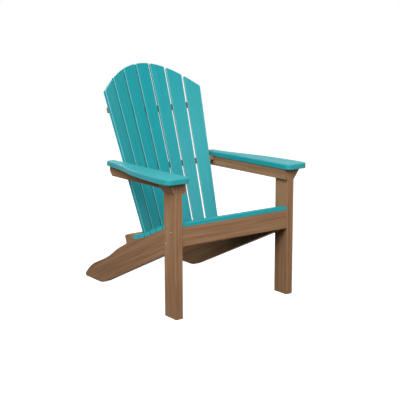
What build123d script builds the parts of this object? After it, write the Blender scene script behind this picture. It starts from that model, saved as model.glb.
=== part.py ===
from build123d import *
import os
from math import atan, cos, radians, sin, tan

# Adirondack chair in plastic lumber boards, millimetres.
# Working frame: x across, y back from the front face of the front legs, z up from the floor.
# The finished pieces are moved so that the chair's box stands centred on the origin.

# Boards
frame_board = 38.1      # legs, side stringers, lower back rail
slat_board = 19.05      # seat slats, apron, arm rails
arm_board = 25.4        # arms, middle and upper back rails
back_board = 15.9       # back slats
edge_round = 3.0        # rounded long edges of the boards
fit_play = 0.3          # boards cut to go between others

# Front legs and arms
inside_width = 602.4    # between the two front legs
leg_width = 88.9        # front to back
arm_height = 608.0      # floor to the underside of the arms
arm_inside = 275.0      # centre line to the inner edge of an arm
arm_nose = -31.0        # front end of the arms
arm_past_rail = 36.0    # arms go on behind the middle of the middle back rail's ends
arm_flare = ((426.0, 69.0), (262.0, 106.0), (150.0, 118.0))    # width of an arm at places along it
arm_tail_width = 43.0
arm_nose_width = 122.0
arm_outer_corner = 30.0
arm_inner_corner = 28.0
arm_tail_corner = 6.0
arm_top_round = 6.0
arm_rail_height = 49.0
arm_rail_cut = (19.0, 25.0)     # lower rear corner: along, up
corbel_height = 50.0
corbel_width = 34.0
corbel_tip = 4.0

# Seat: a crown in front, a straight run, then a hollow towards the back
seat_height = 412.5     # underside of the front slat at its front edge
seat_front_angle = 9.0
seat_steep_angle = 24.3
seat_crown_radius = 850.0
seat_straight = 60.0
seat_hollow_radius = 530.0
seat_slats = 8
seat_slat_width = 48.0
seat_gap = 5.0
seat_nose_round = 9.0
apron_recess = 5.0      # behind the front face of the legs
apron_height = 88.9

# Side stringers: seat support and rear leg in one board
belly_point = (149.5, 154.5)    # on the straight lower edge: back, and below the seat's front edge
belly_round = 140.0             # where the lower edge meets the floor
foot_tail = 874.0               # rearmost point of the foot
foot_length = 168.0             # from there to where the lower edge would meet the floor
foot_nose = 11.0                # radius of the foot's rear end
foot_wave = ((0.14, 14.0), (0.33, 10.5), (0.58, 0.0), (0.80, 4.0))    # share of the run, rise over it
rail_seat_lip = 3.0             # stringer's seat for the lower rail reaches past it by this

# Back: flat tapered slats turned about one leaning axis, so that they fan and stand in a hollow
back_set = (55.2, -29.3)        # front lower edge of the middle slat, from the seat's rear end
back_lean = 20.7                # middle slat, from upright
fan_lean = 9.18                 # fan axis, from upright
fan_radius = 510.4              # fan axis to the foot of the middle slat
slat_turn = 6.82                # share of the fan held by the middle slat
slat_turn_growth = 0.27         # more for each slat further out
side_slats = 3                  # each side of the middle one
back_gap = 8.0
back_length = 883.5             # middle slat
arch_drop = 158.0               # from the middle of the arch to the outer edges of the back
slat_corner = 4.0
rail_depth = 38.1
middle_rail_drop = 14.5         # centre of the middle rail's ends, below the arms
upper_rail_share = 0.734        # centre of the upper rail, as a share of the middle slat
upper_rail_short = 16.0         # the upper rail ends inside the outer slats' edges

# Fasteners
bolt_shank = 6.35
bolt_head = 12.0
bolt_head_height = 3.4
bolt_front = (35.5, 24.5)       # from the front of the leg, below the seat
bolt_rear = (14.9, 80.5)        # from the rear of the leg, below the seat
washer_size = (16.0, 1.6)
nut_size = (11.1, 5.6)          # across flats, height
screw_shank = 4.5
screw_head = 8.4
screw_head_height = 3.0
screw_bite = 22.0               # thread held in the second board
screw_play = 0.25               # round the shanks and heads
well_length = 60.0              # room for a driver above a sunk head

# Worked out from the sizes above
half_inside = inside_width / 2
half_rails = half_inside - slat_board
stringer_mid = half_inside - frame_board / 2
arm_rail_mid = half_inside - slat_board / 2
seat_pitch = seat_slat_width + seat_gap
screw_sunk = screw_head_height + 0.4
stand = (Align.CENTER, Align.CENTER, Align.MIN)
hang = (Align.CENTER, Align.CENTER, Align.MAX)

along = Vector(0, sin(radians(back_lean)), cos(radians(back_lean)))
behind = Vector(0, cos(radians(back_lean)), -sin(radians(back_lean)))
across = Vector(1, 0, 0)


def seat_point(run):
    """Point (y, z) under the seat, run along its curve from the front edge."""
    start, steep = radians(seat_front_angle), radians(seat_steep_angle)
    crown = seat_crown_radius * (steep - start)
    turn = start + min(run, crown) / seat_crown_radius
    y = apron_recess + seat_crown_radius * (sin(turn) - sin(start))
    z = seat_height - seat_crown_radius * (cos(start) - cos(turn))
    slope = min(max(run - crown, 0.0), seat_straight)
    y += slope * cos(steep)
    z -= slope * sin(steep)
    rest = max(run - crown - seat_straight, 0.0)
    turn = steep - rest / seat_hollow_radius
    y += seat_hollow_radius * (sin(steep) - sin(turn))
    z -= seat_hollow_radius * (cos(turn) - cos(steep))
    return y, z


def seat_facets():
    """Corners (y, z) of the flats under the seat slats, front to rear."""
    runs = [0.0] + [n * seat_pitch - seat_gap / 2 for n in range(1, seat_slats + 1)]
    return [seat_point(run) for run in runs]


foot = Vector(0, *seat_facets()[-1]) + Vector(0, *back_set)
to_fan = Vector(0, -cos(radians(fan_lean)), sin(radians(fan_lean)))
fan_axis = Axis(foot + to_fan * fan_radius, (0, sin(radians(fan_lean)), cos(radians(fan_lean))))
back_plane = Plane(foot, x_dir=across, z_dir=behind * -1)


def on_back(x, up, depth):
    """Point x across, up along the middle slat and depth behind its front face."""
    return foot + across * x + along * up + behind * depth


def turned(point, angle):
    """Point carried round the fan axis, towards +x for a positive angle."""
    return fan_axis.position + (point - fan_axis.position).rotate(fan_axis, -angle)


def fan_share(step):
    """Angle that the slat step places out from the middle holds."""
    return slat_turn + slat_turn_growth * step


def fan_angle(place):
    """Angle of the slat at a place from -side_slats to side_slats."""
    step = abs(place)
    if step == 0:
        return 0.0
    inner = fan_share(0) / 2 + sum(fan_share(n) for n in range(1, step))
    return (inner + fan_share(step) / 2) * (1 if place > 0 else -1)


def half_share(step, up, depth=0.0):
    """Half the width that a slat and its gap take at a height up the slat."""
    tilt = radians(back_lean - fan_lean)
    radius = fan_radius + up * sin(tilt) + depth * cos(tilt)
    return radius * tan(radians(fan_share(step)) / 2)


def slat_up(place, height):
    """How far up its own slat a place is that lies at a height along the middle slat."""
    angle = fan_angle(place)
    low = (turned(on_back(0, 0, back_board), angle) - foot).dot(along)
    high = (turned(on_back(0, 1, back_board), angle) - foot).dot(along)
    return (height - low) / (high - low)


def outer_edge(height):
    """Rear outer edge of the outermost slat: x, and depth behind the middle slat's front."""
    up = slat_up(side_slats, height)
    half = half_share(side_slats, up) - back_gap / 2
    point = turned(on_back(half, up, back_board), fan_angle(side_slats))
    return point.X, (point - foot).dot(behind)


def rail_end(height):
    """Middle of the right end of a back rail, on the plane x = 0."""
    return on_back(0, height, outer_edge(height)[1] + rail_depth / 2)


def middle_rail_height():
    """Height along the middle slat that puts the middle rail's ends below the arms."""
    height = 0.0
    for _ in range(6):
        height += (arm_height - middle_rail_drop - rail_end(height).Z) / along.Z
    return height


middle_rail_up = middle_rail_height()
upper_rail_up = back_length * upper_rail_share
arm_tail = rail_end(middle_rail_up).Y + arm_past_rail
arch_half_width = outer_edge(back_length - arch_drop)[0]


def seat_flat(number):
    """Sketch plane across one seat slat: x back along its flat, y up, origin under its middle."""
    corners = seat_facets()
    front = Vector(0, *corners[number])
    down_seat = (Vector(0, *corners[number + 1]) - front).normalized()
    lead = 0.0 if number == 0 else seat_gap / 2
    return Plane(front + down_seat * (lead + seat_slat_width / 2), x_dir=down_seat, z_dir=across)


def board_across(profile, length):
    """Board with its profile drawn in y and z, set across the chair."""
    return extrude(profile, amount=length / 2, both=True)


def pair(right):
    """A right-hand piece and its mirror image on the left."""
    return {"right": right, "left": mirror(right, about=Plane.YZ)}


def both_sides(solids):
    """Fasteners of the right side with those of the left."""
    return solids + [mirror(solid, about=Plane.YZ) for solid in solids]


def screw(seat, reach):
    """Screw with its head on a seat plane and its shank below it."""
    head = Cylinder(screw_head / 2, screw_head_height, align=stand)
    shank = Cylinder(screw_shank / 2, reach, align=hang)
    return seat * (head + shank)


def drilled(board, holes):
    """Board with its holes cut one after another."""
    for hole in holes:
        board = board - hole
    return board


def screw_hole(seat, reach):
    """What such a screw takes out of the boards that it joins."""
    bore = Cylinder(screw_shank / 2 + screw_play, reach + screw_play, align=hang)
    return seat * (bore + Cylinder(screw_head / 2 + screw_play, well_length, align=stand))


def seat_screw_spots(number):
    """Screws on the right end of one seat slat; the front slat also holds the apron."""
    flat = seat_flat(number)
    places = [0.0]
    if number == 0:
        places = [slat_board / 2 - seat_slat_width / 2, seat_slat_width / 3]
    spots = []
    for place in places:
        origin = flat.from_local_coords((place, slat_board - screw_sunk, stringer_mid))
        spots.append((Plane(origin, z_dir=flat.y_dir), slat_board - screw_sunk + screw_bite))
    return spots


def arm_rail_spots():
    """Screws through the right leg into the arm rail, covered by the corbel."""
    x = half_inside + frame_board - screw_sunk
    places = (leg_width * 0.36, leg_width * 0.64)
    reach = frame_board - screw_sunk + slat_board * 0.8
    return [(Plane((x, y, arm_height - arm_rail_height / 2), z_dir=across), reach) for y in places]


def corbel_spots():
    """Screws through the right leg into the corbel, covered by the arm rail."""
    x = half_inside + screw_sunk
    places = (leg_width * 0.14, leg_width * 0.86)
    reach = frame_board - screw_sunk + corbel_width * 0.4
    return [(Plane((x, y, arm_height - corbel_height * 0.35), z_dir=(-1, 0, 0)), reach) for y in places]


def arm_spots():
    """Screws up through the right arm rail into the arm."""
    hold = arm_rail_height / 2
    first, last = leg_width + 40.0, arm_tail - 75.0
    places = (first, (first + last) / 2, last)
    reach = hold + arm_board * 0.65
    return [(Plane((arm_rail_mid, y, arm_height - hold), z_dir=(0, 0, -1)), reach) for y in places]


def middle_rail_spot():
    """Screw through the right arm rail into the end of the middle back rail."""
    centre = rail_end(middle_rail_up)
    seat = Plane((half_inside, centre.Y, centre.Z), z_dir=across)
    return seat, slat_board + screw_bite


def lower_rail_spot():
    """Screw down through the right end of the lower back rail into the stringer."""
    top = rail_end(frame_board / 2) + along * (frame_board / 2 - screw_sunk) + across * stringer_mid
    return Plane(top, z_dir=along), frame_board - screw_sunk + screw_bite


def back_screws(make, place):
    """Screws, or their holes, from the three rails into one back slat."""
    into_slat = back_board * 0.6
    into_rail = rail_depth * 0.68
    made = []
    for height in (frame_board / 2, middle_rail_up, upper_rail_up):
        seat = Plane(on_back(0, slat_up(place, height), back_board + into_rail), z_dir=behind)
        made.append(make(seat, into_rail + into_slat).rotate(fan_axis, -fan_angle(place)))
    return made


def bolt_places():
    """Leg bolts, as (y, z)."""
    front = (bolt_front[0], seat_height - bolt_front[1])
    return front, (leg_width - bolt_rear[0], seat_height - bolt_rear[1])


def through_leg(y, z, x):
    """Plane on the right side of the chair that faces outwards at a bolt."""
    return Plane((x, y, z), z_dir=across)


def bolt_holes():
    radius = bolt_shank / 2 + screw_play
    length = 2 * frame_board
    inner = half_inside - frame_board
    return [through_leg(y, z, inner) * Cylinder(radius, length, align=stand) for y, z in bolt_places()]


def leg_bolts():
    """Button-head bolts through leg and stringer, long enough for washer and nut."""
    head = Cylinder(bolt_head / 2, bolt_head_height, align=stand)
    head = fillet(head.edges().group_by(Axis.Z)[-1], bolt_head_height * 0.75)
    length = 2 * frame_board + washer_size[1] + nut_size[1] + 2.0
    bolt = head + Cylinder(bolt_shank / 2, length, align=hang)
    return [through_leg(y, z, half_inside + frame_board) * bolt for y, z in bolt_places()]


def leg_washers():
    ring = Circle(washer_size[0] / 2) - Circle(bolt_shank / 2 + screw_play)
    washer = extrude(ring, amount=-washer_size[1])
    return [through_leg(y, z, half_inside - frame_board) * washer for y, z in bolt_places()]


def leg_nuts():
    hexagon = RegularPolygon(nut_size[0] / 2, 6, major_radius=False)
    nut = extrude(hexagon - Circle(bolt_shank / 2 + screw_play / 2), amount=-nut_size[1])
    seat = half_inside - frame_board - washer_size[1]
    return [through_leg(y, z, seat) * nut for y, z in bolt_places()]


def front_leg():
    board = Box(frame_board, leg_width, arm_height, align=stand)
    leg = Pos(half_inside + frame_board / 2, leg_width / 2, 0) * board
    leg = fillet(leg.edges().filter_by(Axis.Z), edge_round)
    holes = [screw_hole(*spot) for spot in arm_rail_spots() + corbel_spots()]
    return drilled(leg, bolt_holes() + holes)


def belly_slope():
    """Fall of the stringer's straight lower edge."""
    return (seat_height - belly_point[1]) / (foot_tail - foot_length - belly_point[0])


def lower_edge(y):
    """Height of that edge."""
    return (foot_tail - foot_length - y) * belly_slope()


def stringer_outline():
    """Right stringer's face in y and z."""
    start = apron_recess + slat_board + fit_play
    corners = seat_facets()
    first, second = Vector(*corners[0]), Vector(*corners[1])
    top = first + (second - first) * ((start - first.X) / (second.X - first.X))
    depth = outer_edge(frame_board / 2)[1]
    rail_front = on_back(0, 0, depth - rail_seat_lip)
    rail_rear = on_back(0, 0, depth + rail_depth)
    crest = Vector(rail_rear.Y, rail_rear.Z)
    top_line = [top] + corners[1:] + [(rail_front.Y, rail_front.Z), crest]

    nose_top = Vector(foot_tail - foot_nose, foot_nose) + Vector(1, 1).normalized() * foot_nose
    run = crest - nose_top
    rise = Vector(run.Y, -run.X).normalized()
    wave = [nose_top + run * share + rise * height for share, height in foot_wave]
    heel = Vector(foot_tail - foot_nose, 0)

    slope = belly_slope()
    back_off = belly_round * tan(atan(slope) / 2)
    belly_end = (foot_tail - foot_length - back_off * cos(atan(slope)), back_off * sin(atan(slope)))
    floor_start = (foot_tail - foot_length + back_off, 0)
    front_low = (start, lower_edge(start))

    edges = [
        Polyline(*top_line),
        Spline(crest, *reversed(wave), nose_top, tangents=[run * -1, (1, -1)], tangent_scalars=[1.0, 1.0]),
        ThreePointArc(nose_top, (foot_tail, foot_nose), heel),
        Line(heel, floor_start),
        RadiusArc(floor_start, belly_end, belly_round),
        Polyline(belly_end, front_low, top),
    ]
    return Plane.YZ * make_face(edges), crest


def side_stringer():
    face, crest = stringer_outline()
    board = Pos(half_inside - frame_board, 0, 0) * extrude(face, amount=frame_board)
    low = [e for e in board.faces().filter_by(Axis.X).edges() if rounded_low_edge(e, crest)]
    board = fillet(low, edge_round)
    holes = [screw_hole(*lower_rail_spot())]
    for number in range(seat_slats):
        holes += [screw_hole(*spot) for spot in seat_screw_spots(number)]
    return drilled(board, bolt_holes() + holes)


def rounded_low_edge(edge, crest):
    """True for the foot and the lower edge, which are rounded; the seat's flats stay sharp."""
    middle = edge.position_at(0.5)
    on_belly = middle.Z < lower_edge(middle.Y) + edge_round and middle.Y > apron_recess + 2 * slat_board
    return middle.Y > crest.X or on_belly


def front_apron():
    corners = seat_facets()
    front, second = Vector(*corners[0]), Vector(*corners[1])
    rear = front + (second - front) * (slat_board / (second.X - front.X))
    low = seat_height - apron_height
    profile = make_face(Polyline(front, rear, (rear.X, low), (front.X, low), close=True))
    board = board_across(Plane.YZ * profile, inside_width - 2 * fit_play)
    board = fillet(board.edges().filter_by(Axis.X).group_by(Axis.Z)[0], edge_round)
    return drilled(board, both_sides([screw_hole(*seat_screw_spots(0)[0])]))


def seat_slat(number):
    flat = seat_flat(number)
    profile = Pos(0, slat_board / 2) * Rectangle(seat_slat_width, slat_board)
    if number == 0:
        profile = fillet(profile.vertices().group_by(Axis.Y)[-1].sort_by(Axis.X)[:1], seat_nose_round)
        profile = fillet(profile.vertices().group_by(Axis.X)[-1], edge_round)
    else:
        profile = fillet(profile.vertices(), edge_round)
    board = board_across(flat * profile, inside_width - 2 * fit_play)
    holes = [screw_hole(*spot) for spot in seat_screw_spots(number)]
    return drilled(board, both_sides(holes))


def slat_top(place, side):
    """Point on the top of a slat, across and up it: side runs from -1 at its left edge to 1 at its right."""
    up = back_length
    for _ in range(8):
        x = side * (half_share(abs(place), up) - back_gap / 2)
        point = turned(on_back(x, up, 0), fan_angle(place))
        arch = back_length - arch_drop * (point.X / arch_half_width) ** 2
        up += arch - (point - foot).dot(along)
    return x, up


def back_slat(place):
    """Slat tapered with the fan, with its top on the arch: a parabola over the middle slat's face."""
    low = half_share(abs(place), 0.0) - back_gap / 2
    top = [slat_top(place, side) for side in (1.0, 0.5, 0.0, -0.5, -1.0)]
    face = make_face([Polyline(top[-1], (-low, 0), (low, 0), top[0]), Spline(*top)])
    face = fillet(face.vertices(), slat_corner)
    board = extrude(back_plane * face, amount=-back_board)
    flats = board.faces().sort_by(SortBy.AREA)[-2:]
    board = fillet(flats[0].edges() + flats[1].edges(), edge_round)
    return drilled(board.rotate(fan_axis, -fan_angle(place)), back_screws(screw_hole, place))


def slat_room(place):
    """Room that a slat needs in front of a rail, up to the middle of the gaps beside it."""
    step = abs(place)
    top = back_length
    low, high = half_share(step, -top / 4, back_board), half_share(step, top, back_board)
    face = Polygon((-low, -top / 4), (low, -top / 4), (high, top), (-high, top), align=None)
    rear_face = back_plane.offset(-back_board)
    return extrude(rear_face * face, amount=4 * back_board).rotate(fan_axis, -fan_angle(place))


def back_rail(height, half_length, board):
    """Bowed rail with a flat for each slat and straight ends, at a height along the middle slat."""
    edge_x, front = outer_edge(height)
    rear = front + rail_depth
    bow_half = min(edge_x, half_length)
    bow = ThreePointArc((bow_half, rear), (0, back_board + rail_depth), (-bow_half, rear))
    ear = [(half_length, rear)] if half_length > bow_half else []
    right_end = [(half_length, front)] + ear + [(bow_half, rear)]
    left_end = [(-x, depth) for x, depth in reversed(right_end)]
    plane = Plane(on_back(0, height - board / 2, 0), x_dir=across, z_dir=along)
    rail = extrude(plane * make_face([bow, Polyline(*left_end, *right_end)]), amount=board)
    places = range(-side_slats, side_slats + 1)
    rail = drilled(rail, [slat_room(place) for place in places])
    return drilled(rail, [hole for place in places for hole in back_screws(screw_hole, place)])


def lower_back_rail():
    seat, reach = lower_rail_spot()
    rail = back_rail(frame_board / 2, half_inside, frame_board)
    return drilled(rail, both_sides([screw_hole(seat, reach)]))


def upper_back_rail():
    return back_rail(upper_rail_up, outer_edge(upper_rail_up)[0] - upper_rail_short, arm_board)


def middle_back_rail():
    """Its ends are cut level to pass under the arms."""
    rail = back_rail(middle_rail_up, half_rails, arm_board)
    arm_room = Pos(half_rails, rail_end(middle_rail_up).Y, arm_height) * Box(
        2 * (half_rails - arm_inside + fit_play), 4 * rail_depth, 4 * frame_board, align=stand)
    seat, reach = middle_rail_spot()
    return drilled(rail, both_sides([arm_room, screw_hole(seat, reach)]))


def upright_at(board, corner):
    """The board's upright edge where a corner edge was before other corners were rounded."""
    place = corner.position_at(0.5)
    return board.edges().filter_by(Axis.Z).sort_by_distance(place)[:1]


def arm():
    tail = (arm_inside + arm_tail_width, arm_tail)
    nose = (arm_inside + arm_nose_width, arm_nose)
    flare = [(arm_inside + width, y) for y, width in arm_flare]
    outer = Spline(tail, *flare, nose, tangents=[(0.1, -1), (-0.12, -1)])
    rest = Polyline(nose, (arm_inside, arm_nose), (arm_inside, arm_tail), tail)
    board = Pos(0, 0, arm_height) * extrude(make_face([outer, rest]), amount=arm_board)
    upright = board.edges().filter_by(Axis.Z)
    front, rear = upright.group_by(Axis.Y)[0], upright.group_by(Axis.Y)[-1]
    board = fillet(front.sort_by(Axis.X)[-1:], arm_outer_corner)
    board = fillet(upright_at(board, front.sort_by(Axis.X)[0]), arm_inner_corner)
    for corner in rear:
        board = fillet(upright_at(board, corner), arm_tail_corner)
    board = fillet(board.faces().sort_by(Axis.Z)[-1].edges(), arm_top_round)
    board = fillet(board.faces().sort_by(Axis.Z)[0].edges(), edge_round)
    return drilled(board, [screw_hole(*spot) for spot in arm_spots()])


def arm_rail():
    low, high = arm_height - arm_rail_height, arm_height
    cut_along, cut_up = arm_rail_cut
    profile = Polyline((0, low), (arm_tail - cut_along, low), (arm_tail, low + cut_up), (arm_tail, high),
                       (0, high), close=True)
    board = Pos(half_rails, 0, 0) * extrude(Plane.YZ * make_face(profile), amount=slat_board)
    board = fillet(board.edges().filter_by(Axis.Y).group_by(Axis.Z)[0], edge_round)
    spots = arm_rail_spots() + arm_spots() + [middle_rail_spot()]
    return drilled(board, [screw_hole(*spot) for spot in spots])


def arm_corbel():
    inner = half_inside + frame_board
    outer = inner + corbel_width
    profile = Polyline((inner, arm_height - corbel_height), (outer, arm_height - corbel_tip),
                       (outer, arm_height), (inner, arm_height), close=True)
    wedge = extrude(Plane.XZ * make_face(profile), amount=-leg_width)
    wedge = fillet(wedge.edges().filter_by(Axis.Y).group_by(Axis.X)[-1], corbel_tip * 0.4)
    return drilled(wedge, [screw_hole(*spot) for spot in corbel_spots()])


def nodes():
    """Every piece by its node name."""
    made = {}
    for name, right in (("front_leg", front_leg()), ("side_stringer", side_stringer()), ("arm", arm()),
                        ("arm_rail", arm_rail()), ("arm_corbel", arm_corbel())):
        for side, piece in pair(right).items():
            made[f"{name}_{side}"] = piece
    made["front_apron"] = front_apron()
    for number in range(seat_slats):
        made[f"seat_slat_{number + 1}"] = seat_slat(number)
    made["lower_back_rail"] = lower_back_rail()
    made["middle_back_rail"] = middle_back_rail()
    made["upper_back_rail"] = upper_back_rail()
    places = range(-side_slats, side_slats + 1)
    for number, place in enumerate(places, start=1):
        made[f"back_slat_{number}"] = back_slat(place)

    seat_spots = [spot for number in range(seat_slats) for spot in seat_screw_spots(number)]
    groups = {
        "leg_bolts": both_sides(leg_bolts()),
        "leg_washers": both_sides(leg_washers()),
        "leg_nuts": both_sides(leg_nuts()),
        "seat_screws": both_sides([screw(*spot) for spot in seat_spots]),
        "back_slat_screws": [one for place in places for one in back_screws(screw, place)],
        "arm_rail_screws": both_sides([screw(*spot) for spot in arm_rail_spots()]),
        "arm_screws": both_sides([screw(*spot) for spot in arm_spots()]),
        "corbel_screws": both_sides([screw(*spot) for spot in corbel_spots()]),
        "lower_rail_screws": both_sides([screw(*lower_rail_spot())]),
        "middle_rail_screws": both_sides([screw(*middle_rail_spot())]),
    }
    for name, fasteners in groups.items():
        made[name] = Compound([solid for fastener in fasteners for solid in fastener.solids()])
    return made


def main():
    os.makedirs("parts", exist_ok=True)
    centred = Pos(0, -(arm_nose + foot_tail) / 2, 0)
    for name, piece in nodes().items():
        solids = (centred * piece).solids()
        export_step(solids[0] if len(solids) == 1 else Compound(solids), f"parts/{name}.step")


main()
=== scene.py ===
import math
import bmesh
import bpy
import numpy as np
from mathutils import Matrix, Vector


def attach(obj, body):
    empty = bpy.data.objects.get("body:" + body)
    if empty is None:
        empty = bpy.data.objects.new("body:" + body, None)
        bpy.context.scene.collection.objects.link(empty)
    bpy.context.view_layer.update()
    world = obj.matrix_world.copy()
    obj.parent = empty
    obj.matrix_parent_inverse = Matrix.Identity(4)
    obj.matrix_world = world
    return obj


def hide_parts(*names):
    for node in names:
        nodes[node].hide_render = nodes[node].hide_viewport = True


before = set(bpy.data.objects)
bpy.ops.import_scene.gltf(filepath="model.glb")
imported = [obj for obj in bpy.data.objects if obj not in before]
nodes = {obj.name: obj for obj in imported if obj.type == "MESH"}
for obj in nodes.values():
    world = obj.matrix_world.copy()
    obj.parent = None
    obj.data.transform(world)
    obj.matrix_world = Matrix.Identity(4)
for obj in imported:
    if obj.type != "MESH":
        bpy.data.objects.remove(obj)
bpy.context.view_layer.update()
scene = bpy.context.scene

MM = 0.001
ACROSS = Vector((1, 0, 0))
FRONT_TO_REAR = Vector((0, 1, 0))
UPRIGHT = Vector((0, 0, 1))

# Lumber: darkest streak, board and lightest streak of each colour, then the teal of a painted highlight on
# rounded edges and the teal of painted light on the ends
TEAL = ("#06868D", "#0C9097", "#209BA1")
BROWN = ("#785540", "#9A7556", "#B18D6D")
EDGE_HIGHLIGHT_TEAL = "#9AD2D4"
END_LIGHT_TEAL = "#15ACB5"

# Streaks along a board: length and width in millimetres
PIGMENT_BAND = (620, 17)
PIGMENT_STREAK = (260, 5)
PRESSED_GRAIN = (46, 1.1)
GRAIN_DEPTH = 0.35              # millimetres
GRAIN_STRENGTH = 0.15
STREAK_SHARE = 0.55             # of the narrow pigment streaks, against the broad bands
STREAK_BREAKS = 0.6             # how much the finer noise breaks up each streak
DULL_CHANGE = 0.06              # of the roughness, each way, over the pressed grain

# Most values of a noise lie in this range
NOISE_RANGE = (0.3, 0.7)

# Start and end of the painted highlight on rounded edges and the painted light on board ends, on masks that
# reach 0.25 on a rounded edge and 1 on an end
EDGE_HIGHLIGHT_RANGE = (0.03, 0.2)
END_LIGHT_RANGE = (0.6, 0.9)

# Kinds of board: half the range of noise that the shades spread over, strength and roughness of the shine,
# and strength of the painted highlight on rounded edges and the painted light on the ends
BACK_SLAT = {"shades": TEAL, "streak_spread": 0.3, "gloss": 0.25, "dull": 0.36, "painted_edge_highlight": 0.5}
SEAT_SLAT = {"shades": TEAL, "streak_spread": 0.3, "gloss": 0.18, "dull": 0.45, "painted_end_light": 1.0}
ARM = {"shades": TEAL, "streak_spread": 0.3, "gloss": 0.5, "dull": 0.6}
FRAME_BOARD = {"shades": BROWN, "streak_spread": 0.24, "gloss": 0.03, "dull": 0.5}

# Steel
STEEL = "#7A7873"
STEEL_DENT = 0.9                # millimetres, left by the tumbling
STEEL_ROUGHNESS = (0.2, 0.38)

# Screws, in millimetres
SCREW_HEAD_RADIUS = 4.2
SCREW_HEAD_HEIGHT = 3.0
SCREW_CROWN = ((0.6, 0.0), (0.86, 0.1), (0.97, 0.7), (1.0, 1.5))    # share of the radius, depth below the top
SCREW_SHANK_RADIUS = 2.25
SCREW_POINT = 4.5
DRIVE_SIDES = 4
DRIVE_HALF_WIDTH = 1.45
DRIVE_DEPTH = 1.9

# Bolts, nuts and washers, in millimetres; chamfers are given inwards and along
BOLT_HEAD_RADIUS = 6.0
BOLT_HEAD_HEIGHT = 3.4
BOLT_RIM = 0.5
BOLT_SHANK_RADIUS = 3.175
BOLT_END_CHAMFER = (0.7, 0.9)
DOME_STEPS = 6
NUT_SIDES = 6
NUT_HALF_WIDTH = 5.55
NUT_BORE_RADIUS = 3.3
NUT_BORE_CHAMFER = 0.4
NUT_CORNER_CHAMFER = 0.5
WASHER_RADIUS = 8.0
WASHER_BORE_RADIUS = 3.45
WASHER_SHARP_EDGE = (0.2, 0.25)
WASHER_ROLLED_EDGE = (0.4, 0.5)

# Meshes
CAD_MERGE = 0.01                # millimetres, between corners of the CAD's loose triangles
SPUN_MERGE = 0.001              # millimetres, between points on the axis of a turned piece
HEAD_SHARE = 0.8                # points further out than this share of the largest radius are on the head
SHARP_ANGLE = 35                # degrees between two faces, from which their edge isn't smoothed

# Studio: sizes in metres
WHITE = "#FFFFFF"
FLOOR_SEEN = "#AAAAAA"          # takes the chair's shadow, with the glow added
FLOOR_BOUNCE = "#222222"        # sends little light up to the chair
FLOOR_GLOW = 0.97
FLOOR_HALF_SIDE = 40.0
WORLD_LIGHT = 0.08
LAMP_AIM = Vector((0.0, 0.0, 0.5))

# Camera: place in metres, angles in degrees, sensor and lens in millimetres
CAMERA_PLACE = (-2.509, -3.5626, 1.2924)
CAMERA_HEADING = 36.229         # to the right of straight back
CAMERA_TILT = 11.187            # downwards
CAMERA_ROLL = 0.231             # clockwise, seen from behind the camera
CAMERA_SENSOR = 36.0
CAMERA_LENS = 82.07
CAMERA_REACH = 100.0


# Small helpers

def linear(hex_colour):
    """sRGB hex colour as linear red, green, blue and alpha."""
    parts = [int(hex_colour[i:i + 2], 16) / 255 for i in (1, 3, 5)]
    return tuple(c / 12.92 if c <= 0.04045 else ((c + 0.055) / 1.055) ** 2.4 for c in parts) + (1.0,)


def add(tree, kind, settings=None, **inputs):
    """Adds a node. Inputs are numbers, colours or other nodes' outputs, by socket name or identifier."""
    made = tree.nodes.new(kind)
    for name, value in (settings or {}).items():
        setattr(made, name, value)
    for name, value in inputs.items():
        socket = next(s for s in made.inputs if name in (s.identifier, s.name.replace(" ", "_")))
        if isinstance(value, bpy.types.NodeSocket):
            tree.links.new(value, socket)
        else:
            socket.default_value = value
    return made


def new_material(name):
    """Empty node material with its output."""
    material = bpy.data.materials.new(name)
    material.use_nodes = True
    material.node_tree.nodes.clear()
    return material, material.node_tree, material.node_tree.nodes.new("ShaderNodeOutputMaterial")


def new_object(name, shape, material):
    """Object in the scene, made from a bmesh."""
    mesh = bpy.data.meshes.new(name)
    shape.to_mesh(mesh)
    shape.free()
    mesh.materials.append(material)
    made = bpy.data.objects.new(name, mesh)
    scene.collection.objects.link(made)
    return made


def main_axes(points):
    """Directions in which points spread, as columns from the narrowest to the widest."""
    return np.linalg.eigh(np.cov(points, rowvar=False))[1]


# Materials

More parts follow.
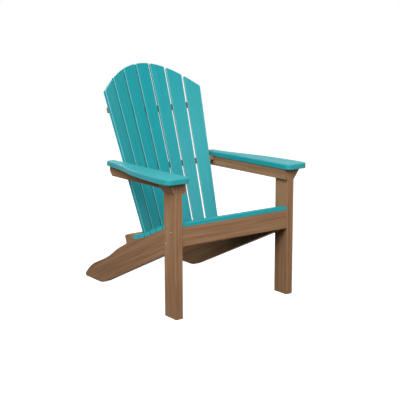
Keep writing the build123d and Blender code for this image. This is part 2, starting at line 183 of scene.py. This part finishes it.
def plastic_lumber(name, lengthwise, thinwise, shades, streak_spread, gloss, dull, painted_edge_highlight=0.0, painted_end_light=0.0):
    """Solid plastic lumber: extruded in boards and pressed with a fine wood grain while warm.
    It looks like satin paint, with paler and darker streaks of pigment along the board. Rounded edges can get
    a painted highlight, and the ends painted light that makes them brighter."""
    material, tree, output = new_material(name)
    turn = lengthwise.rotation_difference(ACROSS).to_euler()
    spot = add(tree, "ShaderNodeTexCoord").outputs
    along = add(tree, "ShaderNodeMapping", Vector=spot["Object"], Rotation=turn).outputs["Vector"]

    def streaks(size, detail):
        """Noise drawn out along the board."""
        length, width = (side * MM for side in size)
        drawn = add(tree, "ShaderNodeMapping", Vector=along, Scale=(1 / length, 1 / width, 1 / width))
        noise = add(tree, "ShaderNodeTexNoise", Vector=drawn.outputs["Vector"], Scale=1.0, Detail=detail,
                    Roughness=STREAK_BREAKS)
        return noise.outputs["Fac"]

    def facing(direction):
        """1 where the surface faces along a direction, 0 where it faces across it."""
        cosine = add(tree, "ShaderNodeVectorMath", {"operation": "DOT_PRODUCT"}, Vector=spot["Normal"],
                     Vector_001=direction).outputs["Value"]
        return add(tree, "ShaderNodeMath", {"operation": "POWER"}, Value=cosine, Value_001=2.0).outputs[0]

    def tinted(under, mask, mask_range, amount, shade):
        """Colour under a tint that comes in over a range of the mask."""
        start, full = mask_range
        part = add(tree, "ShaderNodeMapRange", Value=mask, From_Min=start, From_Max=full, To_Max=amount)
        mixed = add(tree, "ShaderNodeMix", {"data_type": "RGBA"}, Factor_Float=part.outputs[0], A_Color=under,
                    B_Color=linear(shade))
        return mixed.outputs[2]

    pigment = add(tree, "ShaderNodeMix", {"data_type": "FLOAT"}, Factor_Float=STREAK_SHARE,
                  A_Float=streaks(PIGMENT_BAND, detail=3), B_Float=streaks(PIGMENT_STREAK, detail=2))
    spread = add(tree, "ShaderNodeMapRange", Value=pigment.outputs[0], From_Min=0.5 - streak_spread,
                 From_Max=0.5 + streak_spread)
    ramp = add(tree, "ShaderNodeValToRGB", Fac=spread.outputs[0])
    ramp.color_ramp.elements.new(0.5)
    for stop, position, shade in zip(ramp.color_ramp.elements, (0.0, 0.5, 1.0), shades):
        stop.position = position
        stop.color = linear(shade)
    colour = ramp.outputs["Color"]
    if painted_edge_highlight:
        # Painted highlight on the rounded edges, which lie between the flats of the board and its sides
        flat = facing(thinwise)
        side = add(tree, "ShaderNodeMath", {"operation": "SUBTRACT"}, Value=1.0, Value_001=flat).outputs[0]
        edge = add(tree, "ShaderNodeMath", {"operation": "MULTIPLY"}, Value=flat, Value_001=side).outputs[0]
        colour = tinted(colour, edge, EDGE_HIGHLIGHT_RANGE, painted_edge_highlight, EDGE_HIGHLIGHT_TEAL)
    # Painted light on the ends of the board, which makes them brighter
    if painted_end_light:
        colour = tinted(colour, facing(lengthwise), END_LIGHT_RANGE, painted_end_light, END_LIGHT_TEAL)

    pressed = streaks(PRESSED_GRAIN, detail=2)
    rough = add(tree, "ShaderNodeMapRange", Value=pressed, From_Min=NOISE_RANGE[0], From_Max=NOISE_RANGE[1],
                To_Min=dull - DULL_CHANGE, To_Max=dull + DULL_CHANGE)
    grain = add(tree, "ShaderNodeBump", Strength=GRAIN_STRENGTH, Distance=GRAIN_DEPTH * MM, Height=pressed)
    surface = add(tree, "ShaderNodeBsdfPrincipled", Base_Color=colour, Roughness=rough.outputs[0],
                  Specular_IOR_Level=gloss, Normal=grain.outputs["Normal"])
    tree.links.new(surface.outputs["BSDF"], output.inputs["Surface"])
    return material


def stainless_steel():
    """Stainless steel, cold-headed and tumbled bright: a mirror that is a little blurred and uneven."""
    material, tree, output = new_material("tumbled_stainless_steel")
    place = add(tree, "ShaderNodeTexCoord").outputs["Object"]
    tumbled = add(tree, "ShaderNodeTexNoise", Vector=place, Scale=1 / (STEEL_DENT * MM), Detail=3.0)
    rough = add(tree, "ShaderNodeMapRange", Value=tumbled.outputs["Fac"], From_Min=NOISE_RANGE[0],
                From_Max=NOISE_RANGE[1], To_Min=STEEL_ROUGHNESS[0], To_Max=STEEL_ROUGHNESS[1])
    surface = add(tree, "ShaderNodeBsdfPrincipled", Base_Color=linear(STEEL), Metallic=1.0,
                  Roughness=rough.outputs[0])
    tree.links.new(surface.outputs["BSDF"], output.inputs["Surface"])
    return material


# Fasteners: made in detail at the places of the CAD's plain ones

def fastener_places(node, locate):
    """Place and length of each fastener of a CAD node, in a fixed order."""
    shape = bmesh.new()
    shape.from_mesh(nodes[node].data)
    bmesh.ops.remove_doubles(shape, verts=shape.verts, dist=CAD_MERGE * MM)
    places = []
    seen = set()
    for first in shape.verts:
        island = []
        waiting = [first]
        while waiting:
            vert = waiting.pop()
            if vert not in seen:
                seen.add(vert)
                island.append(vert.co.copy())
                waiting += [edge.other_vert(vert) for edge in vert.link_edges]
        if island:
            places.append(locate(np.array(island)))
    shape.free()
    return sorted(places, key=lambda place: tuple(round(c, 4) for c in place[0].translation))


def standing(origin, axis):
    """Place at an origin, with +Z along an axis."""
    return Matrix.Translation(origin) @ axis.to_track_quat("Z", "Y").to_matrix().to_4x4()


def spindle(points):
    """Place and length of one headed fastener from its solid's points: +Z runs out of the head, the origin
    is under the head, and the length lies below that."""
    centre = (points.min(0) + points.max(0)) / 2
    axis = main_axes(points)[:, -1]
    run = (points - centre) @ axis
    radius = np.linalg.norm(points - centre - np.outer(run, axis), axis=1)
    head = run[radius > HEAD_SHARE * radius.max()]
    if head.mean() < 0:
        axis, run, head = -axis, -run, -head
    return standing(Vector(centre + axis * head.min()), Vector(axis)), head.min() - run.min()


def ring(points):
    """Place and thickness of one nut or washer from its solid's points: +Z runs to the chair's middle."""
    centre = Vector((points.min(0) + points.max(0)) / 2)
    thickness = np.ptp(points[:, 0])
    inward = ACROSS if centre.x < 0 else -ACROSS
    return standing(centre - inward * thickness / 2, inward), thickness


def spun(profile, steps=24, closed=False):
    """Solid or ring turned from a profile of (radius, height) in millimetres."""
    shape = bmesh.new()
    verts = [shape.verts.new((radius * MM, 0.0, height * MM)) for radius, height in profile]
    ends = verts[1:] + verts[:1] if closed else verts[1:]
    edges = [shape.edges.new(pair) for pair in zip(verts, ends)]
    bmesh.ops.spin(shape, geom=verts + edges, cent=(0, 0, 0), axis=UPRIGHT, angle=math.tau, steps=steps,
                   use_merge=True)
    bmesh.ops.remove_doubles(shape, verts=shape.verts, dist=SPUN_MERGE * MM)
    return shape


def to_flats(verts, sides, half_width):
    """Moves a ring of points out or in to a polygon with flat sides. Its half width is in millimetres."""
    for vert in verts:
        turn = math.atan2(vert.co.y, vert.co.x) % (math.tau / sides) - math.pi / sides
        vert.co.xy = vert.co.xy.normalized() * (half_width * MM / math.cos(turn))


def open_edges(shape):
    """Edges with a face on one side only."""
    return [edge for edge in shape.edges if edge.is_boundary]


def of_type(parts, kind):
    """Points or edges among the parts that an operator made."""
    return [part for part in parts if isinstance(part, kind)]


def square_drive_screw(length):
    """Pan-head screw with a square recess. Its length is in metres."""
    reach = length / MM
    crown = [(share * SCREW_HEAD_RADIUS, SCREW_HEAD_HEIGHT - depth) for share, depth in SCREW_CROWN]
    shank = [(SCREW_SHANK_RADIUS, 0.0), (SCREW_SHANK_RADIUS, SCREW_POINT - reach), (0.0, -reach)]
    shape = spun(crown + [(SCREW_HEAD_RADIUS, 0.0)] + shank)
    mouth = bmesh.ops.extrude_edge_only(shape, edges=open_edges(shape))["geom"]
    to_flats(of_type(mouth, bmesh.types.BMVert), DRIVE_SIDES, DRIVE_HALF_WIDTH)
    recess = bmesh.ops.extrude_edge_only(shape, edges=of_type(mouth, bmesh.types.BMEdge))["geom"]
    bmesh.ops.translate(shape, verts=of_type(recess, bmesh.types.BMVert), vec=UPRIGHT * -DRIVE_DEPTH * MM)
    bmesh.ops.holes_fill(shape, edges=open_edges(shape), sides=0)
    return shape


def dome_bolt(length):
    """Bolt with a smooth low dome, and a chamfered end. Its length is in metres."""
    reach = length / MM
    rise = BOLT_HEAD_HEIGHT - BOLT_RIM
    turns = [math.pi / 2 * step / DOME_STEPS for step in range(DOME_STEPS + 1)]
    dome = [(BOLT_HEAD_RADIUS * math.sin(turn), BOLT_RIM + rise * math.cos(turn)) for turn in turns]
    inwards, upwards = BOLT_END_CHAMFER
    end = [(BOLT_SHANK_RADIUS, upwards - reach), (BOLT_SHANK_RADIUS - inwards, -reach), (0.0, -reach)]
    return spun(dome + [(BOLT_HEAD_RADIUS, 0.0), (BOLT_SHANK_RADIUS, 0.0)] + end)


def hexagon_nut(thickness):
    """Nut with chamfered corners and bore. Its thickness is in metres."""
    height = thickness / MM
    corner = NUT_HALF_WIDTH / math.cos(math.pi / NUT_SIDES)
    bore = [(NUT_BORE_RADIUS, NUT_BORE_CHAMFER), (NUT_BORE_RADIUS + NUT_BORE_CHAMFER, 0.0)]
    lower = bore + [(NUT_HALF_WIDTH, 0.0), (corner, NUT_CORNER_CHAMFER)]
    upper = [(radius, height - up) for radius, up in reversed(lower)]
    shape = spun(lower + upper, steps=36, closed=True)
    between = (NUT_HALF_WIDTH + corner) / 2 * MM
    to_flats([vert for vert in shape.verts if vert.co.xy.length > between], NUT_SIDES, NUT_HALF_WIDTH)
    return shape


def round_washer(thickness):
    """Stamped washer with one edge rolled over. Its thickness is in metres."""
    height = thickness / MM
    inwards, upwards = WASHER_SHARP_EDGE
    sharp = [(WASHER_RADIUS - inwards, 0.0), (WASHER_RADIUS, upwards)]
    inwards, downwards = WASHER_ROLLED_EDGE
    rolled = [(WASHER_RADIUS, height - downwards), (WASHER_RADIUS - inwards, height)]
    bore = [(WASHER_BORE_RADIUS, height), (WASHER_BORE_RADIUS, 0.0)]
    return spun(sharp + rolled + bore, steps=32, closed=True)


# By the last word of the CAD node: words for the piece's name, how it is made and how it is located
FASTENERS = {
    "screws": ("square_drive_screws", square_drive_screw, spindle),
    "bolts": ("dome_bolts", dome_bolt, spindle),
    "nuts": ("hexagon_nuts", hexagon_nut, ring),
    "washers": ("round_washers", round_washer, ring),
}


def detailed_fasteners(node, name, make, locate, steel):
    """One piece with every fastener of a CAD node, in its place."""
    whole = bmesh.new()
    for place, length in fastener_places(node, locate):
        shape = make(length)
        bmesh.ops.transform(shape, matrix=place, verts=shape.verts)
        single = bpy.data.meshes.new("single")
        shape.to_mesh(single)
        shape.free()
        whole.from_mesh(single)
        bpy.data.meshes.remove(single)
    bmesh.ops.recalc_face_normals(whole, faces=whole.faces)
    for face in whole.faces:
        face.smooth = True
    for edge in whole.edges:
        edge.smooth = edge.is_manifold and edge.calc_face_angle(0.0) < math.radians(SHARP_ANGLE)
    piece = new_object(name, whole, steel)
    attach(piece, "root")
    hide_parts(node)


def finish_fasteners():
    """Makes the fasteners of every CAD node that holds some."""
    steel = stainless_steel()
    for node in list(nodes):
        place, _, kind = node.rpartition("_")
        if kind in FASTENERS:
            words, make, locate = FASTENERS[kind]
            detailed_fasteners(node, f"{place}_{words}", make, locate, steel)


# Boards: the CAD solids, each with the grain along it

def board_axes(board):
    """Directions in which a board is thinnest and longest, from its own solid."""
    axes = main_axes(np.array([vert.co for vert in board.data.vertices]))
    return Vector(axes[:, 0]), Vector(axes[:, -1])


def finish_boards():
    """Gives every board its plastic lumber, with the grain along it."""
    for node, board in nodes.items():
        if node.endswith(tuple(FASTENERS)):
            continue
        thinwise, lengthwise = board_axes(board)
        if node.startswith(("front_leg", "arm_corbel")):
            lengthwise = UPRIGHT
        elif node.startswith("arm"):
            lengthwise = FRONT_TO_REAR
        elif not node.startswith(("back_slat", "side_stringer")):
            lengthwise = ACROSS
        if node.startswith("back_slat"):
            look = BACK_SLAT
        elif node.startswith("seat_slat"):
            look = SEAT_SLAT
        elif node in ("arm_left", "arm_right"):
            look = ARM
        else:
            look = FRAME_BOARD
        board.data.materials.clear()
        board.data.materials.append(plastic_lumber(f"{node}_plastic_lumber", lengthwise, thinwise, **look))


# Studio: floor, light and camera

def backdrop(tree, output, lighting, shown):
    """Gives the output one shader for the light on the chair, and another for the rays that show it: straight
    to the camera, in gloss or through glass."""
    path = add(tree, "ShaderNodeLightPath").outputs
    seen = path["Is Camera Ray"]
    for other in ("Is Glossy Ray", "Is Transmission Ray"):
        either = add(tree, "ShaderNodeMath", {"operation": "MAXIMUM"}, Value=seen, Value_001=path[other])
        seen = either.outputs[0]
    mixed = add(tree, "ShaderNodeMixShader", Fac=seen, Shader=lighting.outputs[0],
                Shader_001=shown.outputs[0])
    tree.links.new(mixed.outputs[0], output.inputs["Surface"])


def studio_floor():
    """Pale floor that runs out into the white background and keeps the chair's shadow."""
    material, tree, output = new_material("pale_studio_floor")
    bounce = add(tree, "ShaderNodeBsdfDiffuse", Color=linear(FLOOR_BOUNCE))
    shaded = add(tree, "ShaderNodeBsdfDiffuse", Color=linear(FLOOR_SEEN))
    glow = add(tree, "ShaderNodeEmission", Color=linear(WHITE), Strength=FLOOR_GLOW)
    bright = add(tree, "ShaderNodeAddShader", Shader=shaded.outputs[0], Shader_001=glow.outputs[0])
    backdrop(tree, output, bounce, bright)
    shape = bmesh.new()
    bmesh.ops.create_grid(shape, x_segments=1, y_segments=1, size=FLOOR_HALF_SIDE)
    floor = new_object("studio_floor", shape, material)


def studio_world():
    """Even light from all round, and a white background behind the floor."""
    world = bpy.data.worlds.new("soft_studio")
    world.use_nodes = True
    tree = world.node_tree
    tree.nodes.clear()
    output = tree.nodes.new("ShaderNodeOutputWorld")
    soft = add(tree, "ShaderNodeBackground", Color=linear(WHITE), Strength=WORLD_LIGHT)
    white = add(tree, "ShaderNodeBackground", Color=linear(WHITE), Strength=1.0)
    backdrop(tree, output, soft, white)
    scene.world = world


def softbox(name, place, size, watts):
    """Square lamp that faces the chair. Its place and size are in metres."""
    light = bpy.data.lights.new(name, "AREA")
    light.size = size
    light.energy = watts
    lamp = bpy.data.objects.new(name, light)
    lamp.location = place
    lamp.rotation_euler = (LAMP_AIM - Vector(place)).to_track_quat("-Z", "Y").to_euler()
    scene.collection.objects.link(lamp)


def in_front(turn, away, height):
    """Place by its turn from straight in front, in degrees to the right, its distance and its height."""
    return away * math.sin(math.radians(turn)), -away * math.cos(math.radians(turn)), height


def studio_lamps():
    """Softboxes round the chair. The strongest is high at the front left."""
    softbox("left_softbox", in_front(turn=-85, away=3.0, height=2.0), size=1.5, watts=28.0)
    softbox("front_left_softbox", in_front(turn=-50, away=3.0, height=2.0), size=1.5, watts=14.0)
    softbox("front_softbox", in_front(turn=8, away=3.0, height=2.0), size=1.5, watts=30.0)
    softbox("high_front_left_softbox", in_front(turn=-50, away=2.6, height=2.8), size=1.5, watts=78.0)
    softbox("high_front_softbox", in_front(turn=-20, away=2.6, height=2.8), size=1.5, watts=20.0)
    softbox("low_front_right_softbox", in_front(turn=38, away=3.2, height=0.7), size=1.0, watts=7.0)
    softbox("rear_softbox", (0.2, 3.0, 1.9), size=1.6, watts=42.0)
    softbox("right_softbox", (2.4, 1.0, 2.7), size=1.4, watts=26.0)


def photo_camera():
    """Camera at the photo's place: about chest height, left of the chair's front, with a long lens."""
    data = bpy.data.cameras.new("photo_camera")
    data.sensor_width = CAMERA_SENSOR
    data.lens = CAMERA_LENS
    data.clip_end = CAMERA_REACH
    camera = bpy.data.objects.new("photo_camera", data)
    heading = Matrix.Rotation(-math.radians(CAMERA_HEADING), 4, "Z")
    tilt = Matrix.Rotation(math.pi / 2 - math.radians(CAMERA_TILT), 4, "X")
    roll = Matrix.Rotation(-math.radians(CAMERA_ROLL), 4, "Z")
    camera.matrix_world = Matrix.Translation(CAMERA_PLACE) @ heading @ tilt @ roll
    scene.collection.objects.link(camera)
    scene.camera = camera


finish_boards()
finish_fasteners()
studio_floor()
studio_world()
studio_lamps()
photo_camera()
scene.view_settings.view_transform = "Standard"
